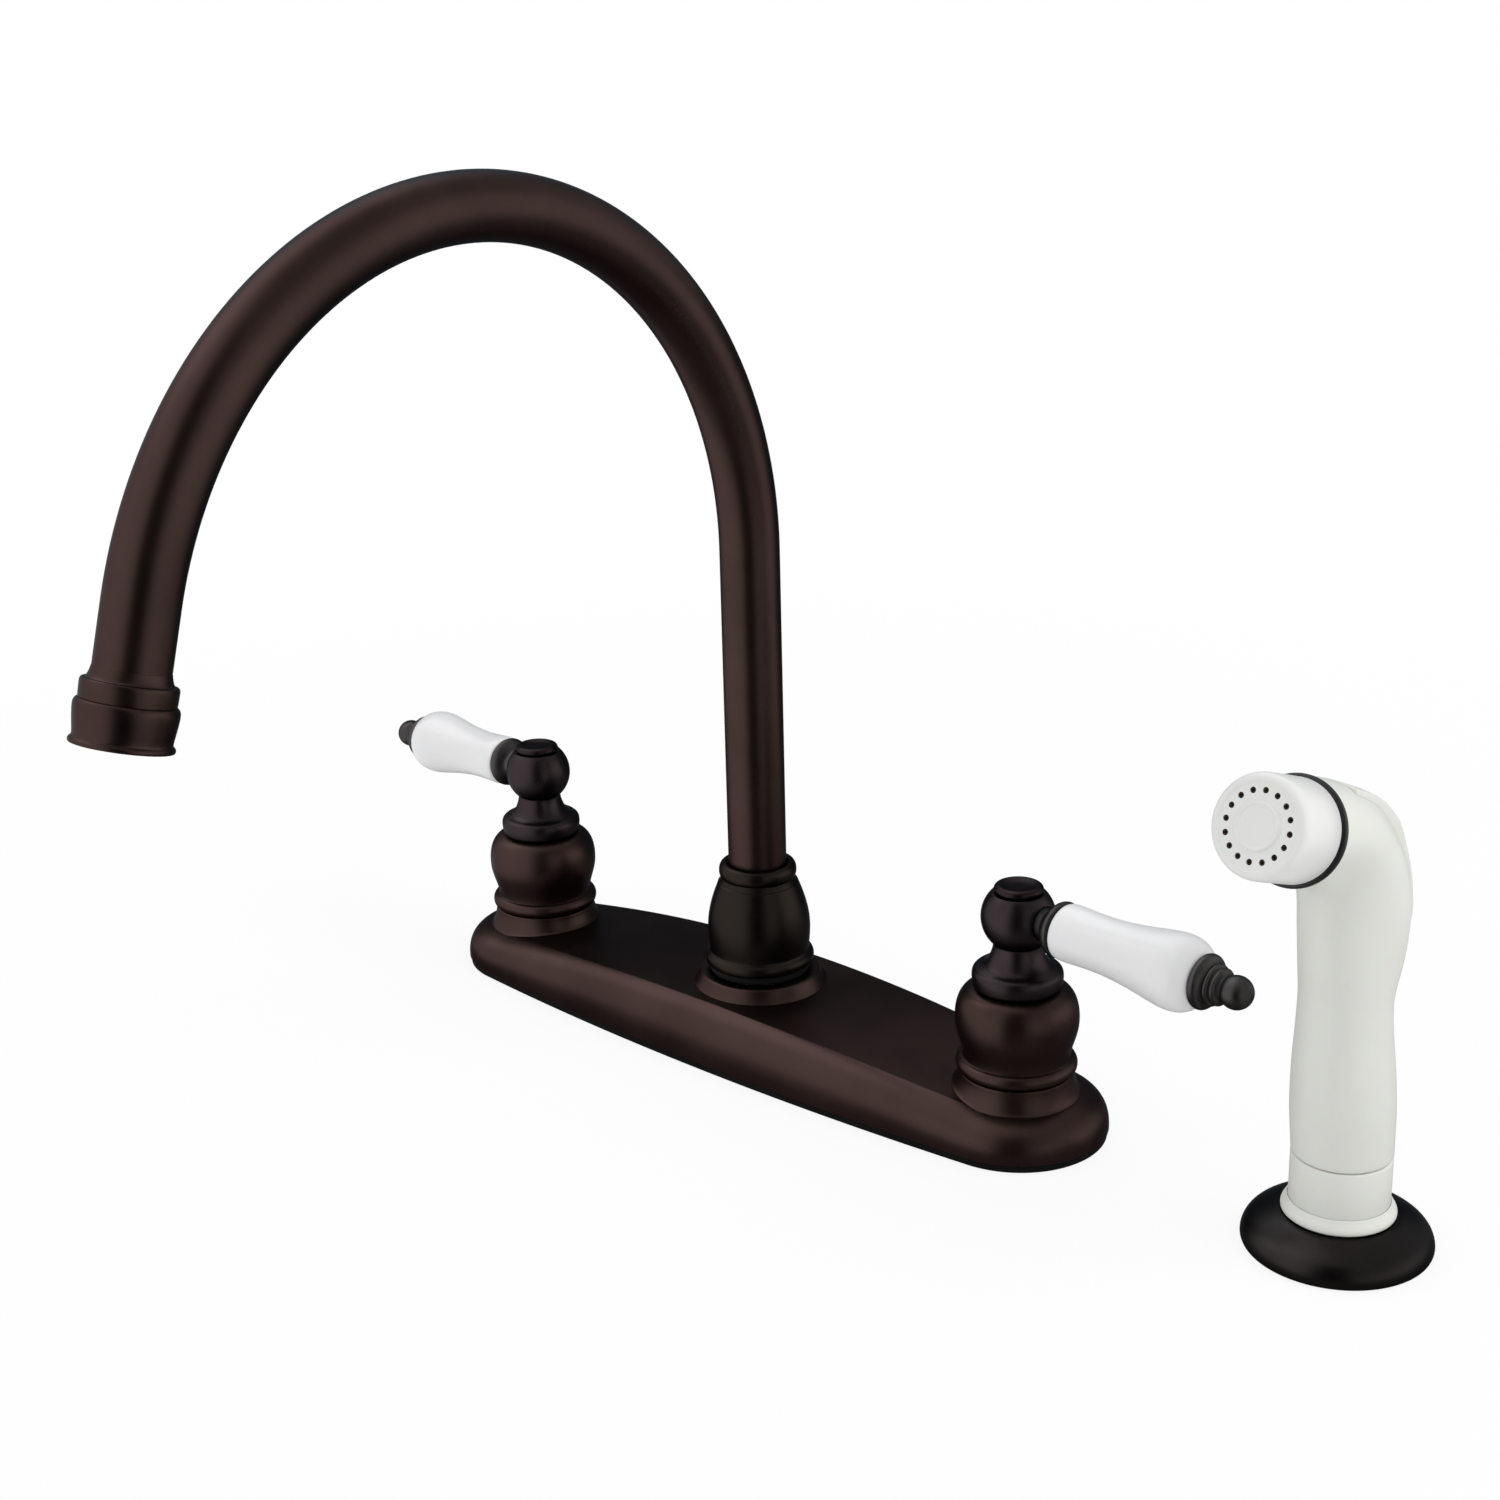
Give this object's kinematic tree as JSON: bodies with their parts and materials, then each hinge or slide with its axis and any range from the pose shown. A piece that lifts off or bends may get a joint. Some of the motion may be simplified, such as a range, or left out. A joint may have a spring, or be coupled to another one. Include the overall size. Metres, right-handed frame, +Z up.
{
  "type": "two handle kitchen faucet",
  "caption": "Two handle widespread kitchen faucet on a deck plate, with a high arc swivel spout, porcelain lever handles and a side spray.",
  "frame": {"origin": "on the sink deck, on the axis of the spout, at the underside of the deck gasket", "axes": "+X from the hot valve to the cold valve and the side spray, -Y towards the user, +Z up"},
  "size_m": [0.4129, 0.2728, 0.3309],
  "materials": {
    "bronze": "oil rubbed bronze, satin",
    "dark_bronze": "darker bronze, satin",
    "porcelain": "glazed, glossy",
    "white_plastic": "white, soft gloss",
    "black_plastic": "black, satin",
    "rubber": "black, matt",
    "brass": "machined and cast",
    "steel": "stainless, satin",
    "disc_ceramic": "lapped",
    "nylon": "natural, matt"
  },
  "bodies": {
    "base": {"deck_plate": "bronze", "deck_gasket": "rubber", "waterway_body": "brass", "diverter_sleeve": "nylon", "spray_outlet_nipple": "brass", "hot_mounting_washer": "steel", "hot_mounting_nut": "brass", "cold_mounting_washer": "steel", "cold_mounting_nut": "brass", "hot_seat_seal": "rubber", "hot_fixed_disc": "disc_ceramic", "hot_cartridge_body": "brass", "hot_lock_nut": "brass", "hot_bonnet": "bronze", "cold_seat_seal": "rubber", "cold_fixed_disc": "disc_ceramic", "cold_cartridge_body": "brass", "cold_lock_nut": "brass", "cold_bonnet": "bronze", "spout_foot_washer": "black_plastic", "spout_nut": "bronze", "spray_flange": "bronze", "spray_guide": "white_plastic", "spray_guide_nut": "nylon"},
    "hot_handle": {"hot_turning_disc": "disc_ceramic", "hot_stem": "brass", "hot_handle_screw": "steel", "hot_index_cap": "bronze", "hot_handle_hub": "bronze", "hot_lever_collar": "dark_bronze", "hot_lever_grip": "porcelain", "hot_lever_finial": "dark_bronze", "hot_lever_rod": "steel"},
    "cold_handle": {"cold_turning_disc": "disc_ceramic", "cold_stem": "brass", "cold_handle_screw": "steel", "cold_index_cap": "bronze", "cold_handle_hub": "bronze", "cold_lever_collar": "dark_bronze", "cold_lever_grip": "porcelain", "cold_lever_finial": "dark_bronze", "cold_lever_rod": "steel"},
    "spout": {"spout_tube": "bronze", "spout_swivel_shank": "brass", "spout_lower_oring": "rubber", "spout_upper_oring": "rubber", "spout_friction_ring": "nylon", "spout_end_collar": "bronze", "aerator_shell": "bronze", "aerator_washer": "rubber", "aerator_insert": "nylon"},
    "diverter": {"diverter_poppet": "nylon"},
    "spray_swivel": {"spray_coupling": "white_plastic"},
    "sprayer": {"spray_body": "white_plastic", "spray_ring": "black_plastic", "spray_nozzle": "white_plastic", "spray_trigger_pin": "steel"},
    "trigger": {"spray_trigger": "white_plastic"},
    "plunger": {"spray_plunger": "nylon"}
  },
  "joints": [
    {"name": "hot_handle_turn", "type": "hinge", "parent": "base", "child": "hot_handle", "pos_m": [-0.1016, 0, 0.0688], "axis": [0, 0, 1], "range_deg": [0, 90]},
    {"name": "cold_handle_turn", "type": "hinge", "parent": "base", "child": "cold_handle", "pos_m": [0.1016, 0, 0.0688], "axis": [0, 0, 1], "range_deg": [-90, 0]},
    {"name": "spout_swivel", "type": "hinge", "parent": "base", "child": "spout", "pos_m": [0, 0, 0.03], "axis": [0, 0, 1], "continuous": true},
    {"name": "diverter_slide", "type": "slide", "parent": "base", "child": "diverter", "axis": [0, 0, 1], "range_m": [0, 0.003]},
    {"name": "spray_lift", "type": "slide", "parent": "base", "child": "spray_swivel", "axis": [0, 0, 1], "range_m": [0, 0.12]},
    {"name": "spray_turn", "type": "hinge", "parent": "spray_swivel", "child": "sprayer", "pos_m": [0.2055, 0.0034, 0.0273], "axis": [0, 0, 1], "continuous": true},
    {"name": "spray_trigger_press", "type": "hinge", "parent": "sprayer", "child": "trigger", "pos_m": [0.20496, -0.01219, 0.1322], "axis": [-0.9994, 0.0349, 0], "range_deg": [0, 4.6], "stiffness_Nm_per_rad": 2, "springref_deg": -5.73},
    {"name": "spray_plunger_push", "type": "slide", "parent": "sprayer", "child": "plunger", "axis": [-0.0349, -0.9994, 0], "range_m": [0, 0.0033]}
  ],
  "couplings": [
    {"joint": "spray_plunger_push", "follows": "spray_trigger_press", "m_per_rad": 0.0402}
  ]
}
